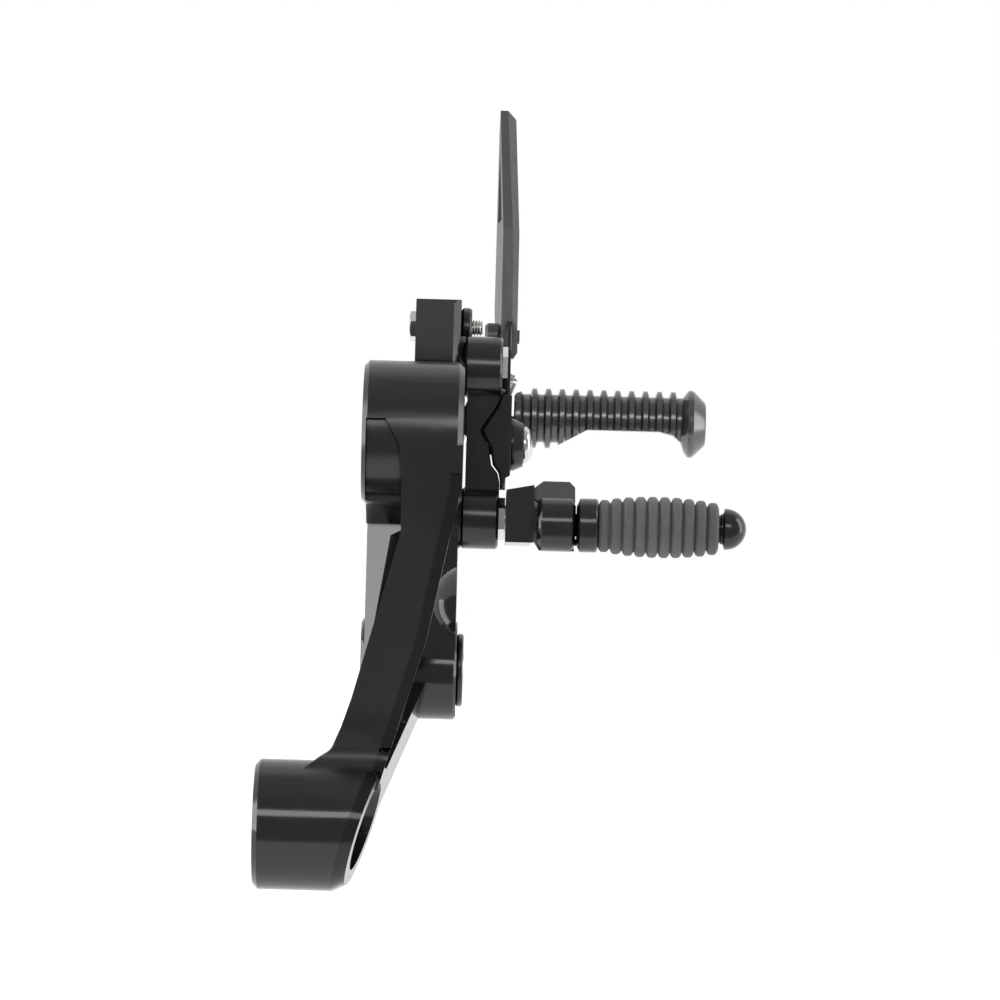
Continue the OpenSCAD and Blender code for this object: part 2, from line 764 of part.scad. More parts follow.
module peg_carrier() {
    bolt = [clamp_y, clamp_z];
    color([0.1, 0.1, 0.1])
        difference() {
            union() {
                // ridge and clamp block, which sit in the plate's groove
                front(plate_front - 3, plate_rear + 1, [
                    [carrier_face, clamp_z + 17.9], [plate_out + 0.1, clamp_z + 17.9],
                    [plate_out - 1.3, clamp_z + 13.4], [plate_out - 7.1, clamp_z + 4.7],
                    [plate_out - 3.7, clamp_z - 1.7], [plate_out - 2.7, clamp_z - 7.7],
                    [plate_out - 0.5, clamp_z - 10.6], [plate_out + 0.1, clamp_z - 13.5],
                    [plate_out + 0.1, pivot_z + hub_r + 0.8], [lever_in - 0.3, pivot_z + hub_r + 0.8],
                    [lever_in - 0.3, clamp_z - 12.5], [carrier_face, clamp_z - 11.5]
                ]);
                // bridge from the block to the cheeks, behind the plate
                intersection() {
                    at_pin()
                        translate([-9, -peg_y + plate_rear + 0.4, -cheek_out])
                            cube([30, peg_y - plate_rear - 9, 2 * cheek_out]);
                    translate([0, 0, -far])
                        cube([carrier_face, far, 2 * far]);
                }
                // cheeks on both sides of the peg's tongue
                intersection() {
                    at_pin()
                        union() {
                            translate([0, 0, -cheek_out])
                                cylinder(h = 2 * cheek_out, r = 8.4);
                            translate([-8.4, -12, -cheek_out])
                                cube([16.8, 12, 2 * cheek_out]);
                        }
                    translate([0, 0, -far])
                        cube([carrier_face, far * 2, 2 * far]);
                }
                // tab for the heel guard
                side(tab_in, tab_out, [
                    [plate_y + 8, 15], [plate_rear, 15], [plate_rear, tab_low - 1],
                    [guard_y + 2, tab_low + 2],
                    [guard_y + 22, tab_low + 4], [guard_y + 22, tab_low + 15],
                    [guard_y + 2, tab_low + 15],
                    [plate_y + 14, tab_low + 3]
                ]);
            }
            // room for the tongue
            at_pin()
                translate([-8.8, -9, -cheek_in])
                    cube([far, far, 2 * cheek_in]);
            at_pin()
                translate([0, 0, -cheek_out - eps])
                    cylinder(h = 2 * (cheek_out + eps), r = pin_r + fit);
            round_x(0, far, m8_clear, bolt);
            for (y = [guard_y + 7, guard_y + 17])
                round_x(0, far, m5 + 0.2, [y, tab_low + 9.5]);
        }
}

module carrier_collar() {
    at = [clamp_y, clamp_z];
    color([0.1, 0.1, 0.1])
        difference() {
            turned_x([
                [0, carrier_face], [9.7, carrier_face], [9.7, carrier_face + 1],
                [8.1, carrier_face + 4.6],
                [0, carrier_face + 4.6]
            ], at);
            round_x(0, far, m8_clear, at);
        }
}

module carrier_bolt() {
    at = [clamp_y, clamp_z];
    head = carrier_face + 4.6;
    color([0.8, 0.8, 0.8])
        difference() {
            union() {
                turned_x([
                    [0, head], [7, head], [7, head + 0.9], [6.4, head + 2], [5.2, head + 2.9],
                    [3.8, head + 3.4], [0, head + 3.4]
                ], at);
                round_x(plate_web + 0.4, head + 0.1, m8, at);
            }
            hex_x(head + 1, far, 5, at);
        }
}

module foot_peg() {
    at = [peg_y, peg_z];
    first = peg_root + 6.1;
    last = first + (peg_ribs - 1) * peg_pitch;
    flare = peg_tip - 7.2;
    color([0.13, 0.13, 0.13])
        difference() {
            union() {
                difference() {
                    union() {
                        turned_x(concat(
                            [[0, peg_root], [peg_r - 0.8, peg_root], [peg_r, peg_root + 0.6],
                                [peg_r, peg_root + 2.4], [peg_core_r, peg_root + 3.6]],
                            [for (i = [0 : peg_ribs - 1]) for (p = [[peg_core_r, -0.1], [peg_r, 0.7],
                            [peg_r, 2.3],
                                [peg_core_r, 3.1]])
                                [p[0], first + i * peg_pitch + p[1]]],
                            [[peg_core_r, flare + 1], [0, flare + 1]]
                        ), at);
                        // flared end, which hangs a little lower than the ribs
                        turned_x([
                            [0, last + 4.6], [peg_core_r, last + 4.6], [peg_r + 1.2, flare + 0.6],
                            [peg_r + 1.5, flare + 1.4], [peg_r + 1.2, flare + 2.6],
                            [peg_r - 2.8, peg_tip - 0.5],
                            [peg_r - 3.6, peg_tip], [0, peg_tip]
                        ], at - [0, 0.7]);
                    }
                    // flat that lightens the underside
                    front(0, 2 * far, [
                        [peg_root + 11, peg_z - peg_r - 2], [peg_root + 27.6, peg_z - 4],
                        [flare - 10, peg_z - 4], [flare - 5, peg_z - 5.2], [flare - 1.8, peg_z - 7.8],
                        [flare, peg_z - peg_r - 2]
                    ]);
                    // room for the cheeks
                    at_pin()
                        translate([0, 0, -far])
                            cylinder(h = 2 * far, r = 8.9);
                }
                // tongue round the fold pin
                intersection() {
                    at_pin()
                        translate([-far, -far, -tongue_t / 2])
                            cube([2 * far, 2 * far, tongue_t]);
                    union() {
                        at_pin()
                            translate([0, 0, -tongue_t])
                                cylinder(h = 2 * tongue_t, r = 7.4);
                        round_x(pin_x, peg_root + 4, 7.4, at);
                    }
                }
            }
            at_pin()
                translate([0, 0, -far])
                    cylinder(h = 2 * far, r = pin_r + fit);
        }
}

module fold_pin() {
    color([0.8, 0.8, 0.8])
        at_pin() {
            translate([0, 0, -cheek_out - 2])
                cylinder(h = 2, r = pin_r + 1.6);
            translate([0, 0, -cheek_out - 0.1])
                cylinder(h = cheek_out + spring_top + 2, r = pin_r);
        }
}

module fold_pin_clip() {
    color([0.6, 0.6, 0.6])
        at_pin()
            translate([0, 0, spring_top + 0.1])
                difference() {
                    cylinder(h = 0.8, r = pin_r + 1.3);
                    translate([0, 0, -eps])
                        cylinder(h = 2, r = pin_r + fit);
                }
}

// closed tube of radius r swept along a helix of radius hr round Z, with n turns between z0 and z1
module coil(hr, r, n, z0, z1) {
    steps = n * 18;
    sides = 8;
    function at(i) = [hr * cos(i * 20), hr * sin(i * 20), z0 + (z1 - z0) * i / steps];
    function ring(i) = [for (k = [0 : sides - 1])
        at(i) + r * cos(k * 45) * [cos(i * 20), sin(i * 20), 0] + r * sin(k * 45) * [0, 0, 1]];
    polyhedron(
        points = [for (i = [0 : steps]) each ring(i)],
        faces = concat(
            [[for (k = [0 : sides - 1]) k]],
            [for (i = [0 : steps - 1]) for (k = [0 : sides - 1])
                [i * sides + k, (i + 1) * sides + k, (i + 1) * sides + (k + 1) % sides,
                i * sides + (k + 1) % sides]],
            [[for (k = [sides - 1 : -1 : 0]) steps * sides + k]]
        )
    );
}

module fold_spring() {
    color([0.75, 0.75, 0.75])
        at_pin()
            coil(pin_r + 0.75, 0.5, 5, cheek_out + 0.6, spring_top - 0.6);
}

// bar that bevels the guard's outboard edge from p to q, both [y, z], by b0 at p and by b1 at q
module guard_edge(outer, p, q, b0, b1) {
    run = norm(q - p);
    translate([outer - b0, p[0], p[1]])
        rotate([-atan2(q[0] - p[0], q[1] - p[1]), 0, 0])
            rotate([0, -atan2(b1 - b0, run), 0])
                translate([0, 0, -0.5])
                    linear_extrude(run + 1)
                        polygon([[-1, -1], [9, -1], [9, 9]]);
}

module heel_guard() {
    outer = guard_in + guard_t;
    rear = guard_y + guard_len;
    panel = guard_foot + 13.5;
    kink = [guard_y + 6, guard_kink];
    tip = [rear - 4, guard_top];
    back = rear - guard_bar + 3;
    lean = (tip[0] - kink[0]) / (tip[1] - kink[1]);
    color([0.25, 0.25, 0.25])
        difference() {
            translate([0, guard_y, 0])
                rotate([0, 0, guard_turn])
                    translate([0, -guard_y, 0])
                        difference() {
                            // panel with its foot
                            side(guard_in, outer, [
                                [guard_y, guard_foot], [guard_y + 24, guard_foot], [guard_y + 26, panel],
                                [rear - 6, panel], [rear, panel + 6], [rear, guard_top - 9], tip, kink
                            ]);
                            // cut-out behind the leaning front bar
                            side(guard_in - eps, outer + eps, [
                                [kink[0] + guard_bar + 4 * lean, guard_kink + 4], [back, guard_kink + 4],
                                [back, guard_kink + (back - kink[0] - guard_bar) / lean]
                            ]);
                            // bevel along the outboard front edge, with a slanted run-out above the foot
                            intersection() {
                                guard_edge(outer, [guard_y, guard_foot], kink, guard_bevel, guard_bevel);
                                front(guard_y - 9, guard_y + 19, [
                                    [outer - guard_bevel - 2, guard_foot + 22.5],
                                    [outer + 2, guard_foot + 4],
                                    [outer + 2, far], [outer - guard_bevel - 2, far]
                                ]);
                            }
                            guard_edge(outer, kink, tip, guard_bevel + 0.4, guard_bevel + 1.1);
                            // foot that is set back on its inboard side and bevelled below
                            front(guard_y - eps, rear + eps, [
                                [guard_in - 1, guard_foot - 1], [guard_in + 2.4, guard_foot - 1],
                                [guard_in, guard_foot + 7], [guard_in - 1, guard_foot + 7]
                            ]);
                            front(guard_y - eps, rear + eps, [
                                [outer - 2, guard_foot - 1], [outer + 1, guard_foot - 1],
                                [outer + 1, guard_foot + 4]
                            ]);
                        }
            // slot over the carrier's tab
            translate([tab_in - slot_gap, guard_y - 2, guard_foot - 2])
                cube([tab_t + 2 * slot_gap, 28, tab_low + 15 + slot_gap - guard_foot + 2]);
            for (o = [7, 17])
                round_x(0, far, m5 + 0.2, [guard_y + o, tab_low + 9.5]);
        }
}

module guard_screws() {
    color([0.1, 0.1, 0.1])
        for (o = [7, 17]) {
            at = [guard_y + o, tab_low + 9.5];
            head = guard_in - 0.1 - tan(guard_turn) * (o + 4.9);
            difference() {
                union() {
                    boss_x(head - 5, head, 4.9, 0.6, at);
                    round_x(head - 0.1, carrier_face + 2.3, m5, at);
                }
                hex_x(0, head - 2.5, 4, at);
            }
        }
}

frame_bracket();
rear_boss_flange();
rear_boss_bolt();
stud_bolt();
stud_spacer();
peg_plate();
plate_bolt();
pivot_stud();
lever_bush();
pivot_washer();
pivot_screw();
gear_lever();
toe_hinge_block();
toe_block_bolt();
toe_peg_arm();
toe_hinge_pin();
detent_ball();
detent_spring();
toe_peg_core();
toe_rubber();
peg_carrier();
carrier_bolt();
carrier_collar();
foot_peg();
fold_pin();
fold_pin_clip();
fold_spring();
heel_guard();
guard_screws();
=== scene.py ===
import math
import random

import bmesh
import bpy
from mathutils import Matrix, Vector


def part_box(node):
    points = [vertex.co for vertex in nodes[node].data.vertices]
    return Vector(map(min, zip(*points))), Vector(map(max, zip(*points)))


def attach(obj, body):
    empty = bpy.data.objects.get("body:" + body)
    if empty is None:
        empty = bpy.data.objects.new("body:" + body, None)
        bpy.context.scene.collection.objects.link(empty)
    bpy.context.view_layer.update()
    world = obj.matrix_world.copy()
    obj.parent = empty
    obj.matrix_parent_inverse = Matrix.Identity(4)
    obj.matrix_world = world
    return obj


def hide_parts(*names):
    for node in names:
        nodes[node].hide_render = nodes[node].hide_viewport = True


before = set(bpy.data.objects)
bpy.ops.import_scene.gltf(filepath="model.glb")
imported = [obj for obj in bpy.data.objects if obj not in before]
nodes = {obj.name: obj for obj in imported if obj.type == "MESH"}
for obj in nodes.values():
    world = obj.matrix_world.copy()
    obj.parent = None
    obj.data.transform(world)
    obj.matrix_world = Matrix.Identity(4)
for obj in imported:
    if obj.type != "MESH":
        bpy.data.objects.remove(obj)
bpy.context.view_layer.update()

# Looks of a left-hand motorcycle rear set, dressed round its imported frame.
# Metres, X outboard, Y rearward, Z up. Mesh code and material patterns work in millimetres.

MM = 0.001

# Places of the turned axes, as (Y, Z) in millimetres
UPPER = (0.0, 0.0)
LOWER = (0.0, -142.0)
REAR = (55.0, -86.6)
EAR = (58.0, 40.5)
PLATE_TOP = (40.0, 25.5)
PLATE_LOW = (40.0, -30.0)
CLAMP = (51.0, -2.5)
PEG = (78.0, 8.0)
TOE = (-110.0, -30.9)
FOLD_PIN = (44.0, 78.0, 8.0)
FOLD_LEAN = math.radians(25)

# X of the ear's inboard face, and sizes of the ear bolt: across the flats, across the turned top, shank
EAR_IN = 17.2
HEX_FLATS = 10.0
HEX_TOP_R = 4.75
SHANK_R = 2.98


def low(node):
    """Lowest corner of a CAD node, in millimetres."""
    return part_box(node)[0] / MM


def high(node):
    """Highest corner of a CAD node, in millimetres."""
    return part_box(node)[1] / MM


class Look:
    """Node graph of one procedural material. Its patterns are in the piece's own millimetres."""

    def __init__(self, name, **sockets):
        self.material = bpy.data.materials.new(name)
        self.material.use_nodes = True
        self.tree = self.material.node_tree
        self.shader = self.tree.nodes["Principled BSDF"]
        for key, value in sockets.items():
            self.shader.inputs[key.replace("_", " ")].default_value = value
        self.place = self.add("ShaderNodeTexCoord").outputs["Object"]
        self.mm = self.scaled(self.place, 1 / MM)
        self.x, self.y, self.z = self.add("ShaderNodeSeparateXYZ", self.mm).outputs
        self.height = None

    def add(self, kind, *inputs, **settings):
        node = self.tree.nodes.new(kind)
        for key, value in settings.items():
            setattr(node, key, value)
        for slot, value in zip(node.inputs, inputs):
            self.feed(slot, value)
        return node

    def feed(self, slot, value):
        if isinstance(value, bpy.types.NodeSocket):
            self.tree.links.new(value, slot)
        elif value is not None:
            slot.default_value = value

    def scaled(self, vector, factor):
        node = self.add("ShaderNodeVectorMath", vector, operation="SCALE")
        node.inputs["Scale"].default_value = factor
        return node.outputs[0]

    def stretched(self, sx, sy, sz):
        return self.add("ShaderNodeVectorMath", self.mm, (sx, sy, sz), operation="MULTIPLY").outputs[0]

    def math(self, operation, a, b=None, clamp=False):
        return self.add("ShaderNodeMath", a, b, operation=operation, use_clamp=clamp).outputs[0]

    def noise(self, scale, detail=2.0, vector=None, rough=0.55):
        node = self.add("ShaderNodeTexNoise", vector or self.mm)
        for key, value in (("Scale", scale), ("Detail", detail), ("Roughness", rough)):
            node.inputs[key].default_value = value
        return node.outputs["Fac"]

    def line_noise(self, along, pitch, detail=2.0):
        """Noise that changes along one value only: parallel marks of about that pitch in millimetres."""
        node = self.add("ShaderNodeTexNoise", noise_dimensions="1D")
        self.feed(node.inputs["W"], along)
        for key, value in (("Scale", 1 / pitch), ("Detail", detail), ("Roughness", 0.6)):
            node.inputs[key].default_value = value
        return node.outputs["Fac"]

    def radius(self, axis):
        """Distance from an axis along X through (Y, Z)."""
        dy = self.math("SUBTRACT", self.y, axis[0])
        dz = self.math("SUBTRACT", self.z, axis[1])
        squares = self.math("ADD", self.math("MULTIPLY", dy, dy), self.math("MULTIPLY", dz, dz))
        return self.math("SQRT", squares)

    def remap(self, value, lo, hi, a=0.0, b=1.0):
        node = self.add("ShaderNodeMapRange", value, lo, hi, a, b, clamp=True)
        return node.outputs["Result"]

    def mix(self, factor, a, b):
        """Colour a where factor is 0, colour b where it is 1."""
        node = self.add("ShaderNodeMix", data_type="RGBA")
        colours = [s for s in node.inputs if s.type == "RGBA"]
        self.feed(node.inputs["Factor"], factor)
        for slot, value in zip(colours, (a, b)):
            self.feed(slot, (*value, 1) if isinstance(value, tuple) else value)
        return [s for s in node.outputs if s.type == "RGBA"][0]

    def relief(self, height, depth):
        """Adds a height pattern, from 0 to 1, whose full depth is in millimetres."""
        node = self.add("ShaderNodeBump")
        node.inputs["Distance"].default_value = depth * MM
        self.feed(node.inputs["Height"], height)
        if self.height is not None:
            self.feed(node.inputs["Normal"], self.height)
        self.height = node.outputs[0]

    def edges(self, width, lo=0.02, hi=0.25):
        """1 along the piece's own edges: where a rounded normal differs from the real one."""
        soft = self.add("ShaderNodeBevel", samples=4)
        soft.inputs["Radius"].default_value = width * MM
        real = self.add("ShaderNodeNewGeometry").outputs["Normal"]
        dot = self.add("ShaderNodeVectorMath", soft.outputs[0], real, operation="DOT_PRODUCT")
        return self.remap(self.math("SUBTRACT", 1.0, dot.outputs["Value"]), lo, hi)

    def corners(self, reach):
        """Ambient-occlusion mask for painted shade: 1 deep in inner corners, 0 on open faces."""
        node = self.add("ShaderNodeAmbientOcclusion", samples=4)
        node.inputs["Distance"].default_value = reach * MM
        return self.remap(node.outputs["AO"], 0.55, 0.95, 1.0, 0.0)

    def done(self, colour=None, rough=None):
        if colour is not None:
            self.feed(self.shader.inputs["Base Color"], colour)
        if rough is not None:
            self.feed(self.shader.inputs["Roughness"], rough)
        if self.height is not None:
            self.feed(self.shader.inputs["Normal"], self.height)
        return self.material


def anodised(name, tone, gloss, axes=(), dull=(), marks=0.0010, milled=0.0, index=1.52):
    """Black anodised aluminium. Turned rings run round the axes, cutter marks cross the milled faces. The
    edges carry a painted highlight and the inner corners carry painted shade.
    dull lists (X, Y, Z, radius, extra roughness) of areas that are more satin than the rest."""
    look = Look(name, IOR=index)
    cloud = look.noise(0.09, 3.0)
    grain = look.noise(9.0, 2.0)
    fine = look.noise(2.2, 3.0)
    rough = look.math("ADD", gloss, look.math("MULTIPLY", look.math("SUBTRACT", cloud, 0.5), 0.10))
    rough = look.math("ADD", rough, look.math("MULTIPLY", look.math("SUBTRACT", fine, 0.5), 0.05))
    for x, y, z, radius, extra in dull:
        away = look.add("ShaderNodeVectorMath", look.mm, (x, y, z), operation="DISTANCE").outputs["Value"]
        rough = look.math("ADD", rough, look.remap(away, radius * 0.8, radius * 1.15, extra, 0.0))
    rough = look.math("MAXIMUM", rough, 0.05)
    for axis in axes:
        near = look.remap(look.radius(axis), 30.0, 34.0, 1.0, 0.0)
        lathe = look.line_noise(look.x, 0.22, 3.0)
        rings = look.line_noise(look.radius(axis), 0.22, 3.0)
        both = look.math("ADD", look.math("MULTIPLY", lathe, 0.6), look.math("MULTIPLY", rings, 0.4))
        look.relief(look.math("MULTIPLY", both, near), marks)
    if milled:
        sweep = look.radius((90.0, 210.0))
        look.relief(look.line_noise(sweep, 0.5, 3.0), milled)
    look.relief(grain, 0.0004)
    # Painted highlight: the colour is lightened in patches along the edges, standing in for light that the
    # edges catch.
    edge_highlight = look.edges(0.35)
    shade = look.mix(cloud, tuple(c * 0.75 for c in tone), tuple(c * 1.25 for c in tone))
    edge_highlight = look.math("MULTIPLY", edge_highlight, look.remap(fine, 0.4, 0.62))
    shade = look.mix(edge_highlight, shade, tuple(c * 5 for c in tone))
    # Painted shade: inner corners are darkened and lose part of their specular level, by an
    # ambient-occlusion mask.
    corner_shade = look.corners(1.2)
    shade = look.mix(corner_shade, shade, tuple(c * 0.3 for c in tone))
    look.feed(look.shader.inputs["Specular IOR Level"], look.remap(corner_shade, 0.0, 1.0, 0.5, 0.18))
    return look.done(shade, rough)


def bright_steel(name, axis, tone=(0.66, 0.65, 0.635), gloss=0.2):
    """Turned stainless steel with fine rings round one axis along X."""
    look = Look(name, Metallic=1.0, IOR=2.5)
    rings = look.line_noise(look.radius(axis), 0.12, 3.0)
    along = look.line_noise(look.x, 0.12, 3.0)
    look.relief(look.math("ADD", rings, along), 0.0025)
    look.relief(look.noise(7.0, 2.0), 0.0012)
    smear = look.noise(0.55, 3.0)
    rough = look.math("ADD", gloss - 0.05, look.math("MULTIPLY", smear, 0.12))
    shade = look.mix(smear, tuple(c * 0.88 for c in tone), tuple(min(1.0, c * 1.1) for c in tone))
    return look.done(shade, rough)


def wire_steel(name, tone=(0.62, 0.60, 0.57)):
    """Drawn spring wire with faint die lines."""
    look = Look(name, Metallic=1.0, IOR=2.5)
    draw = look.noise(3.0, 3.0, look.stretched(1.0, 1.0, 4.0))
    look.relief(draw, 0.002)
    shade = look.mix(draw, tuple(c * 0.8 for c in tone), tone)
    return look.done(shade, look.remap(draw, 0.3, 0.7, 0.2, 0.36))


def sintered_bronze(name):
    """Porous bronze of the lever's bush."""
    look = Look(name, Metallic=1.0, IOR=2.0)
    pores = look.noise(6.0, 4.0)
    look.relief(pores, 0.01)
    shade = look.mix(pores, (0.30, 0.17, 0.06), (0.62, 0.41, 0.18))
    return look.done(shade, look.remap(pores, 0.3, 0.7, 0.45, 0.3))


def black_oxide(name):
    """Blackened steel of the socket screws, with a faint brown cast."""
    look = Look(name, Metallic=0.35, IOR=2.0)
    cloud = look.noise(0.8, 4.0)
    look.relief(look.noise(11.0, 2.0), 0.0025)
    shade = look.mix(cloud, (0.014, 0.013, 0.013), (0.034, 0.031, 0.03))
    return look.done(shade, look.remap(cloud, 0.3, 0.7, 0.32, 0.46))


def moulded_rubber(name):
    """Matt rubber with a fine speckle, a painted sheen that lightens its crests in patches, and a parting
    line along both sides.
    """
    look = Look(name, IOR=1.5, Sheen_Weight=0.12, Sheen_Roughness=0.5)
    speck = look.noise(5.5, 3.0)
    cloud = look.noise(0.35, 3.0)
    look.relief(speck, 0.02)
    look.relief(look.noise(1.6, 2.0), 0.03)
    seam_y = look.math("ABSOLUTE", look.math("SUBTRACT", look.z, TOE[1]))
    seam = look.remap(seam_y, 0.08, 0.22, 1.0, 0.0)
    look.relief(seam, 0.05)
    # Painted sheen: the colour of the rib crests is lightened in patches, standing in for light on the
    # crests.
    crest_sheen = look.remap(look.radius(TOE), 8.6, 10.4)
    shade = look.mix(speck, (0.052, 0.052, 0.055), (0.100, 0.100, 0.104))
    crest_sheen = look.math("MULTIPLY", crest_sheen, look.remap(cloud, 0.3, 0.7, 0.15, 0.5))
    shade = look.mix(crest_sheen, shade, (0.14, 0.14, 0.144))
    return look.done(shade, look.remap(speck, 0.3, 0.7, 0.55, 0.72))


def satin_plastic(name):
    """Dark grey glass-filled plastic of the heel guard, with a fine spark texture and a painted highlight
    along its edges.
    """
    look = Look(name, IOR=1.55)
    spark = look.noise(4.2, 2.0)
    cloud = look.noise(0.07, 3.0)
    streak = look.noise(0.5, 4.0, look.stretched(1.0, 1.0, 0.12))
    look.relief(spark, 0.014)
    look.relief(streak, 0.012)
    shade = look.mix(cloud, (0.046, 0.046, 0.049), (0.064, 0.064, 0.068))
    # Painted highlight: the colour is lightened along the edges.
    shade = look.mix(look.math("MULTIPLY", look.edges(0.5), 0.5), shade, (0.10, 0.10, 0.104))
    return look.done(shade, look.remap(streak, 0.3, 0.7, 0.36, 0.5))


def wear(obj, material):
    """Gives an object one material on all its faces."""
    obj.data.materials.clear()
    obj.data.materials.append(material)
    if obj.type == "MESH":
        obj.data.polygons.foreach_set("material_index", [0] * len(obj.data.polygons))
    return obj


def soften(obj, width, angle=28, segments=2):
    """Rounds the edges of an object by modifiers, so that they catch the light as broken edges do."""
    weld = obj.modifiers.new("weld", "WELD")
    weld.merge_threshold = 2e-6
    flat = obj.modifiers.new("flat", "DECIMATE")
    flat.decimate_type = "DISSOLVE"
    flat.angle_limit = math.radians(0.4)
    edge = obj.modifiers.new("edge", "BEVEL")
    edge.width = width * MM
    edge.segments = segments
    edge.limit_method = "ANGLE"
    edge.angle_limit = math.radians(angle)
    edge.miter_outer = "MITER_ARC"
    edge.harden_normals = False
    shade = obj.modifiers.new("shade", "WEIGHTED_NORMAL")
    shade.weight = 80
    shade.keep_sharp = False
    return obj


def new_piece(name, bm, material, body, smooth=35):
    """Makes an object of a bmesh in millimetres, and lets it ride."""
    mesh = bpy.data.meshes.new(name)
    bmesh.ops.scale(bm, vec=(MM,) * 3, verts=bm.verts)
    bmesh.ops.recalc_face_normals(bm, faces=bm.faces)
    bm.to_mesh(mesh)
    bm.free()
    mesh.shade_smooth()
    mesh.set_sharp_from_angle(angle=math.radians(smooth))
    obj = bpy.data.objects.new(name, mesh)
    bpy.context.scene.collection.objects.link(obj)
    wear(obj, material)
    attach(obj, body)
    return obj


def ring_strip(bm, rings):
    """Joins rings of vertices with quads."""
    for a, b in zip(rings, rings[1:]):
        count = len(a)
        for i in range(count):
            bm.faces.new((a[i], a[(i + 1) % count], b[(i + 1) % count], b[i]))


def on_circle(bm, x, axis, r, angle):
    """New vertex at X and an angle on a circle round an axis along X through (Y, Z)."""
    return bm.verts.new((x, axis[0] + r * math.cos(angle), axis[1] + r * math.sin(angle)))


def close_ends(bm, ends, axis):
    """Closes rings of vertices, listed with their X, by fans round the axis."""
    for ring, x in ends:
        centre = bm.verts.new((x, axis[0], axis[1]))
        for a, b in zip(ring, ring[1:] + ring[:1]):
            bm.faces.new((a, b, centre))


def turned(bm, profile, axis, sides=96):
    """Solid of revolution about an axis along X through (Y, Z).
    profile lists (X, radius) from end to end, with radius 0 at both."""
    rings = []
    for x, r in profile:
        if r > 1e-6:
            rings.append([on_circle(bm, x, axis, r, 2 * math.pi * i / sides) for i in range(sides)])
    ring_strip(bm, rings)
    close_ends(bm, ((rings[0], profile[0][0]), (rings[-1], profile[-1][0])), axis)
    return bm


def hex_head(bm, x0, x1, across, chamfer, axis, turn=0.0, per_side=8):
    """Hexagon head from X = x0 to x1 whose corners are turned down by a 30 degree cone at the x1 end."""
    sides = 6 * per_side
    sign = 1 if x1 > x0 else -1
    corners = []
    for i in range(sides):
        angle = 2 * math.pi * i / sides
        inside = (angle + math.pi / 6) % (math.pi / 3) - math.pi / 6
        r = across / 2 / math.cos(inside)
        drop = max(0.0, r - chamfer) * math.tan(math.radians(30))
        corners.append((r, angle + turn, x1 - sign * (drop + 0.02)))
    ring_a = [on_circle(bm, x0, axis, r, angle) for r, angle, _ in corners]
    ring_b = [on_circle(bm, x, axis, r, angle) for r, angle, x in corners]
    ring_c = [on_circle(bm, x1, axis, min(r, chamfer) - 0.03, angle) for r, angle, _ in corners]
    ring_strip(bm, [ring_a, ring_b, ring_c])
    close_ends(bm, ((ring_a, x0), (ring_c, x1)), axis)
    return bm


def thread(bm, x0, x1, r_out, depth, pitch, axis, sides=40):
    """Outer thread along X with rounded crests, whose x1 end runs out into the core."""
    steps = 12
    count = int(round((x1 - x0) / pitch * steps))
    rings = []
    for k in range(count + 1):
        x = x0 + (x1 - x0) * k / count
        ring = []
        for i in range(sides):
            angle = 2 * math.pi * i / sides
            phase = (x / pitch - i / sides) % 1.0
            wave = 0.5 + 0.5 * math.cos(2 * math.pi * phase)
            ends = min(1.0, (x1 - x) / (0.8 * pitch))
            r = r_out - depth * (1 - wave ** 0.8 * max(0.0, ends))
            ring.append(on_circle(bm, x, axis, r, angle))
        rings.append(ring)
    ring_strip(bm, rings)
    close_ends(bm, ((rings[0], x0), (rings[-1], x1)), axis)
    return bm


def tube(bm, points, radius, sides=14):
    """Round wire along points, with rounded ends."""
    frames = []
    normal = None
    for i, p in enumerate(points):
        a = points[max(0, i - 1)]
        b = points[min(len(points) - 1, i + 1)]
        tangent = (b - a).normalized()
        if normal is None:
            normal = tangent.orthogonal().normalized()
        normal = (normal - tangent * normal.dot(tangent)).normalized()
        frames.append((p, tangent, normal, tangent.cross(normal)))
    rings = []
    last = len(frames) - 1
    for i, (p, t, n, b) in enumerate(frames):
        # each end has one more ring, smaller and a little further out
        layers = [(0.0, 1.0)]
        if i == 0:
            layers.insert(0, (-0.3, 0.6))
        if i == last:
            layers.append((0.3, 0.6))
        for shift, share in layers:
            ring = []
            for k in range(sides):
                angle = 2 * math.pi * k / sides
                spoke = n * math.cos(angle) + b * math.sin(angle)
                ring.append(bm.verts.new(p + t * radius * shift + spoke * radius * share))
            rings.append(ring)
    ring_strip(bm, rings)
    bm.faces.new(rings[0])
    bm.faces.new(rings[-1])
    return bm


def chamfered(node, name, picks, material, width):
    """Copy of a CAD node whose chosen edges get broad bevels.
    picks lists (test of an edge, width, steps)."""
    source = nodes[node]
    bm = bmesh.new()
    bm.from_mesh(source.data)
    bm.transform(source.matrix_world)
    bmesh.ops.scale(bm, vec=(1 / MM,) * 3, verts=bm.verts)
    bmesh.ops.remove_doubles(bm, verts=bm.verts, dist=0.002)
    bmesh.ops.dissolve_limit(bm, angle_limit=math.radians(0.4), verts=bm.verts, edges=bm.edges)
    for test, broad, steps in picks:
        chosen = [e for e in bm.edges if len(e.link_faces) == 2 and e.calc_face_angle(0) > 0.3 and test(e)]
        bmesh.ops.bevel(bm, geom=chosen, offset=broad, offset_type="OFFSET", segments=steps,
                        profile=0.5, affect="EDGES", clamp_overlap=True)
    obj = new_piece(name, bm, material, "bracket")
    soften(obj, width)
    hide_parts(node)
    return obj


def pin_frame(point):
    """From the fold pin's own millimetres, its axis along z, to the row frame's."""
    x, y, z = point
    c, s = math.cos(FOLD_LEAN), math.sin(FOLD_LEAN)
    return Vector((FOLD_PIN[0] + c * x + s * z, FOLD_PIN[1] + y, FOLD_PIN[2] - s * x + c * z))


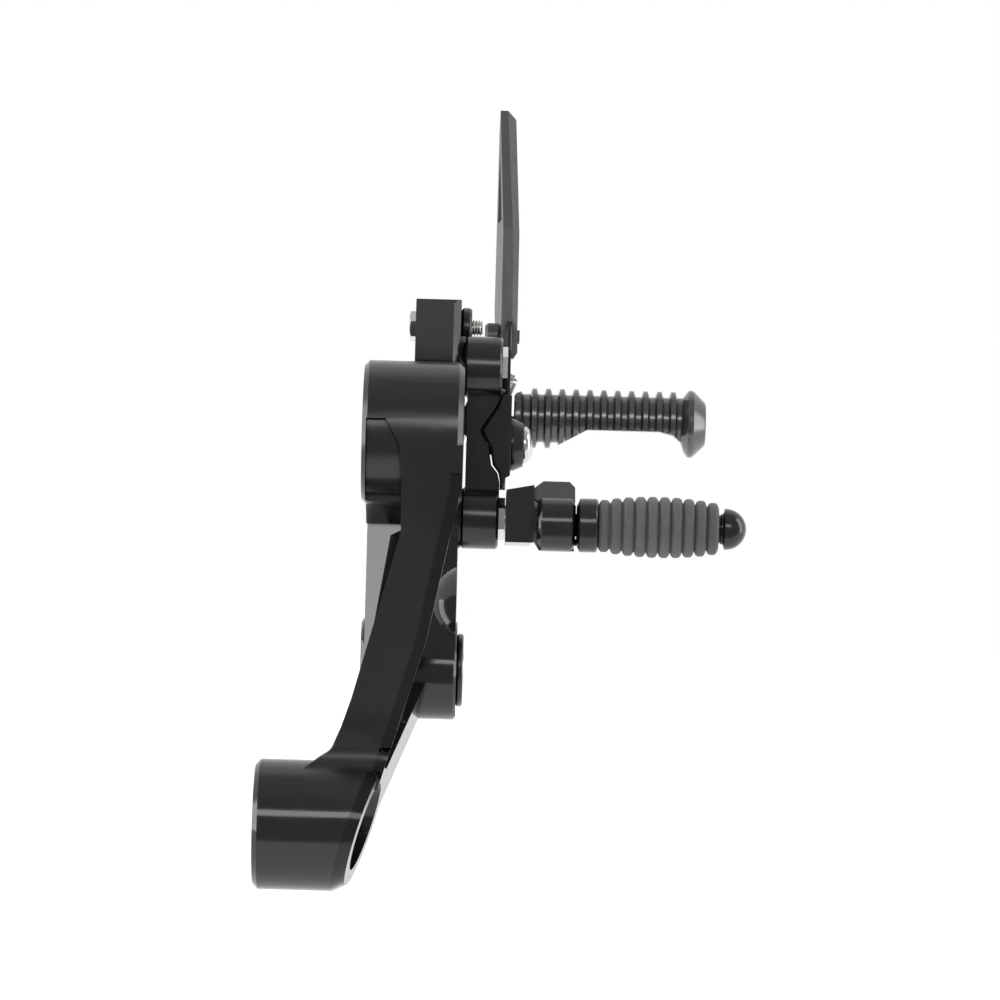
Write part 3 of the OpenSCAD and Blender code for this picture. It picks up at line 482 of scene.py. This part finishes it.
# Materials
BRACKET = anodised("black_bracket_gloss", (0.0110, 0.0106, 0.0110), 0.12, axes=(UPPER, LOWER), milled=0.0012,
                   dull=((18.0, 0.0, 0.0, 34.0, 0.13), (14.0, -16.0, -66.0, 40.0, 0.22),
                         (-2.0, -12.0, -121.0, 15.0, 0.24), (25.0, 46.0, 44.0, 24.0, 0.28)))
PLATE = anodised("black_plate", (0.0105, 0.0105, 0.0115), 0.20, axes=(PLATE_TOP, PLATE_LOW), milled=0.0012)
CARRIER = anodised("black_carrier", (0.0105, 0.0105, 0.0115), 0.13, milled=0.0012)
FITTING = anodised("black_fitting", (0.012, 0.012, 0.013), 0.25, axes=(REAR, EAR))
COLLAR = anodised("black_collar", (0.012, 0.012, 0.013), 0.22, axes=(CLAMP,))
LEVER = anodised("black_lever_gloss", (0.0105, 0.0105, 0.0115), 0.17, axes=(TOE, PLATE_LOW), milled=0.001)
PEG_BLACK = anodised("black_peg_satin", (0.030, 0.030, 0.033), 0.2, axes=(PEG,), marks=0.0015, index=1.9)
STEEL = {name: bright_steel("stainless_" + name, axis) for name, axis in (
    ("rear_boss_bolt", REAR), ("stud_bolt", EAR), ("plate_bolt", PLATE_TOP), ("pivot", PLATE_LOW),
    ("carrier_bolt", CLAMP), ("toe", TOE))}
WIRE = wire_steel("spring_wire")
BRONZE = sintered_bronze("bronze_bush")
OXIDE = black_oxide("black_oxide_screw")
RUBBER = moulded_rubber("toe_rubber_matt")
GUARD = satin_plastic("guard_satin")

for material, names in (
        (BRACKET, ("frame_bracket",)),
        (PLATE, ("peg_plate",)),
        (CARRIER, ("peg_carrier",)),
        (FITTING, ("rear_boss_flange", "stud_spacer")),
        (COLLAR, ("carrier_collar",)),
        (LEVER, ("gear_lever", "toe_hinge_block", "toe_peg_arm", "toe_peg_core")),
        (PEG_BLACK, ("foot_peg",)),
        (STEEL["rear_boss_bolt"], ("rear_boss_bolt",)),
        (STEEL["stud_bolt"], ("stud_bolt",)),
        (STEEL["plate_bolt"], ("plate_bolt",)),
        (STEEL["pivot"], ("pivot_stud", "pivot_washer", "pivot_screw")),
        (STEEL["carrier_bolt"], ("carrier_bolt",)),
        (STEEL["toe"], ("toe_hinge_pin", "detent_ball", "fold_pin")),
        (WIRE, ("detent_spring", "fold_pin_clip", "fold_spring")),
        (BRONZE, ("lever_bush",)),
        (OXIDE, ("toe_block_bolt", "guard_screws")),
        (RUBBER, ("toe_rubber",)),
        (GUARD, ("heel_guard",))):
    for name in names:
        wear(nodes[name], material)

for name, width in (("frame_bracket", 0.35), ("gear_lever", 0.35),
                    ("toe_hinge_block", 0.35), ("toe_peg_arm", 0.25), ("toe_peg_core", 0.2),
                    ("foot_peg", 0.32), ("heel_guard", 0.35), ("guard_screws", 0.15),
                    ("rear_boss_flange", 0.2), ("rear_boss_bolt", 0.15), ("stud_spacer", 0.25),
                    ("carrier_collar", 0.2), ("carrier_bolt", 0.2), ("toe_block_bolt", 0.15)):
    soften(nodes[name], width)


# Carrier and plate with the broad bevels that the cutter leaves round the V groove
CARRIER_FRONT = low("peg_carrier").y
CARRIER_FACE = high("peg_plate").x + 3.8


def on_ridge(edge):
    """Edge of the carrier's front end that follows the V ridge."""
    return all(v.co.y < CARRIER_FRONT + 0.2 and v.co.x < CARRIER_FACE - 0.05 for v in edge.verts)


def on_groove(edge):
    """Edge of the plate's front face that follows the groove."""
    outboard = any(f.normal.x > 0.3 for f in edge.link_faces)
    front = any(f.normal.y < -0.9 for f in edge.link_faces)
    return outboard and front and all(-22 < v.co.z < 18 for v in edge.verts)


chamfered("peg_carrier", "carrier_milled", [(on_ridge, 3.2, 2)], CARRIER, 0.25)
chamfered("peg_plate", "plate_milled", [(on_groove, 1.1, 1)], PLATE, 0.3)

# Ear bolt: chamfered hex head, shank and a free thread end beyond the spacer
stud_in, stud_out = low("stud_bolt").x, high("stud_bolt").x
spacer_out = high("stud_spacer").x
ear_bolt = bmesh.new()
shank = EAR_IN - 0.1, spacer_out - 1.0
hex_head(ear_bolt, EAR_IN, stud_in, HEX_FLATS, HEX_TOP_R, EAR, turn=math.radians(12))
turned(ear_bolt, [(shank[0], 0), (shank[0], SHANK_R), (shank[1], SHANK_R), (shank[1], 0)], EAR, 48)
thread(ear_bolt, spacer_out - 1.2, stud_out, SHANK_R, 0.5, 1.0, EAR)
ear_bolt = new_piece("ear_bolt", ear_bolt, STEEL["stud_bolt"], "bracket", 30)
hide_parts("stud_bolt")


def rubber_sleeve():
    """Rubber sleeve with round crests, narrow grooves and the faint flat of its mould parting."""
    inner, outer = low("toe_rubber").x, high("toe_rubber").x
    crest = high("toe_rubber").z - TOE[1]
    ribs, sides, per_rib = 10, 120, 14
    pitch = (outer - inner) / ribs
    random.seed(7)
    bm = bmesh.new()
    rings = []
    for k in range(ribs * per_rib + 1):
        rib = min(ribs - 1, k // per_rib)
        t = 2 * (k / per_rib - rib) - 1
        top = crest - 0.05 - 1.5 * (abs(rib - (ribs - 1) / 2) / ((ribs - 1) / 2)) ** 2.2
        radius = top - 1.75 * abs(t) ** 3.4
        ring = []
        for i in range(sides):
            a = 2 * math.pi * i / sides
            r = min(radius + random.uniform(-0.035, 0.035), top)
            r -= 0.12 * max(0.0, 1 - abs(math.sin(a)) * 22) * (1 - abs(t) ** 2)
            ring.append(on_circle(bm, inner + pitch * k / per_rib, TOE, r, a))
        rings.append(ring)
    ring_strip(bm, rings)
    close_ends(bm, ((rings[0], inner), (rings[-1], outer)), TOE)
    sleeve = new_piece("rubber_sleeve", bm, RUBBER, "toe_peg", 70)
    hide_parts("toe_rubber")


rubber_sleeve()

# Torsion spring on the fold pin: a smooth coil
turns, per_turn, wire_r, coil_r, coil_low, coil_rise = 6.2, 36, 0.5, 4.1, 10.9, 4.9
coil = []
for k in range(int(turns * per_turn) + 1):
    a = 2 * math.pi * k / per_turn
    height = coil_low + coil_rise * k / (turns * per_turn)
    coil.append(pin_frame((coil_r * math.cos(a), coil_r * math.sin(a), height)))
fold_coil = new_piece("fold_coil", tube(bmesh.new(), coil, wire_r), WIRE, "bracket", 60)
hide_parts("fold_spring")


# Floor, well below the part, which keeps the part's shadow. DARK is how bright the room on the
# camera's side is.
FLOOR_Z = -0.30
DARK = 0.34
FLOOR_HALF = 8.0
floor_mesh = bpy.data.meshes.new("floor")
corners = ((-1, -1), (1, -1), (1, 1), (-1, 1))
floor_mesh.from_pydata([(FLOOR_HALF * x, FLOOR_HALF * y, FLOOR_Z) for x, y in corners], [], [(0, 1, 2, 3)])
floor = bpy.data.objects.new("floor", floor_mesh)
bpy.context.scene.collection.objects.link(floor)
pale = Look("floor_pale", Roughness=0.9)
paint = pale.mix(pale.noise(0.002), (0.80, 0.80, 0.80), (0.84, 0.84, 0.84))
pale.feed(pale.shader.inputs["Base Color"], paint)
path = pale.add("ShaderNodeLightPath").outputs
glow = pale.add("ShaderNodeEmission")
glow.inputs["Color"].default_value = (1, 1, 1, 1)
pale.feed(glow.inputs["Strength"], pale.math("MULTIPLY", path["Is Camera Ray"], 0.55))
both = pale.add("ShaderNodeAddShader", pale.shader.outputs[0], glow.outputs[0])
# what a gloss surface sees of the floor: the lit sweep round the part, and the dark room in front of it
mirrored = pale.add("ShaderNodeEmission")
mirrored.inputs["Color"].default_value = (1, 1, 1, 1)
pale.feed(mirrored.inputs["Strength"], pale.remap(pale.y, -370.0, -290.0, DARK, 1.25))
reflected = pale.math("MAXIMUM", path["Is Glossy Ray"], path["Is Transmission Ray"])
choice = pale.add("ShaderNodeMixShader", reflected, both.outputs[0], mirrored.outputs[0])
pale.tree.links.new(choice.outputs[0], pale.tree.nodes["Material Output"].inputs["Surface"])
wear(floor, pale.material)

# World: a white studio behind and below the part, a dim one on the camera's side
world = bpy.data.worlds.new("studio")
bpy.context.scene.world = world
world.use_nodes = True
tree = world.node_tree
tree.nodes.clear()


def world_node(kind, *inputs, **settings):
    node = tree.nodes.new(kind)
    for key, value in settings.items():
        setattr(node, key, value)
    for slot, value in zip(node.inputs, inputs):
        if isinstance(value, bpy.types.NodeSocket):
            tree.links.new(value, slot)
        elif value is not None:
            slot.default_value = value
    return node


direction = world_node("ShaderNodeTexCoord").outputs["Generated"]
_, wy, wz = world_node("ShaderNodeSeparateXYZ", direction).outputs


def world_math(operation, a, b):
    return world_node("ShaderNodeMath", a, b, operation=operation).outputs[0]


def world_ramp(value, lo, hi, top):
    """Smooth rise from 0 at lo to top at hi."""
    ramp = world_node("ShaderNodeMapRange", value, lo, hi, 0.0, top, interpolation_type="SMOOTHSTEP")
    return ramp.outputs[0]


behind = world_ramp(wy, -0.05, 0.36, 1.0)
above = world_ramp(wz, 0.6, 1.0, 0.25)
white = world_math("MAXIMUM", behind, above)
level = world_node("ShaderNodeMapRange", white, 0.0, 1.0, DARK, 1.0).outputs[0]
path = world_node("ShaderNodeLightPath").outputs
# matt surfaces get an even fill from all round, and the camera sees white
level = world_math("MAXIMUM", level, world_math("MULTIPLY", path["Is Diffuse Ray"], 0.62))
level = world_math("MAXIMUM", level, path["Is Camera Ray"])
background = world_node("ShaderNodeBackground", (1, 1, 1, 1), level)
tree.links.new(background.outputs[0], world_node("ShaderNodeOutputWorld").inputs[0])


def panel(name, distance, azimuth, elevation, width, height, radiance, aim=(0.045, 0.0, -0.02)):
    """Rectangular lamp. Azimuth 0 is on the camera's side, 90 outboard.
    radiance is what a mirror would show of it."""
    a, e = math.radians(azimuth), math.radians(elevation)
    aim = Vector(aim)
    place = aim + distance * Vector((math.sin(a) * math.cos(e), -math.cos(a) * math.cos(e), math.sin(e)))
    data = bpy.data.lights.new(name, "AREA")
    data.shape = "RECTANGLE"
    data.size = width
    data.size_y = height
    data.energy = radiance * math.pi * width * height
    lamp = bpy.data.objects.new(name, data)
    facing = (aim - place).to_track_quat("-Z", "Y").to_matrix().to_4x4()
    lamp.matrix_world = Matrix.Translation(place) @ facing
    bpy.context.scene.collection.objects.link(lamp)
    return lamp


panel("strip", 1.6, 0, 19.5, 1.7, 0.30, 4.6)
panel("left", 1.5, -90, 16, 0.5, 1.5, 4.6)
panel("right", 1.5, 90, 16, 0.5, 1.5, 3.8)

# Camera, at the photograph's viewing angle
camera_data = bpy.data.cameras.new("camera")
camera_data.lens = 180
camera_data.sensor_width = 36
camera = bpy.data.objects.new("camera", camera_data)
camera.location = (0.0498, -1.8, -0.0231)
camera.rotation_euler = (math.radians(90), math.radians(-1.6), 0)
bpy.context.scene.collection.objects.link(camera)
bpy.context.scene.camera = camera
bpy.context.scene.view_settings.view_transform = "Standard"
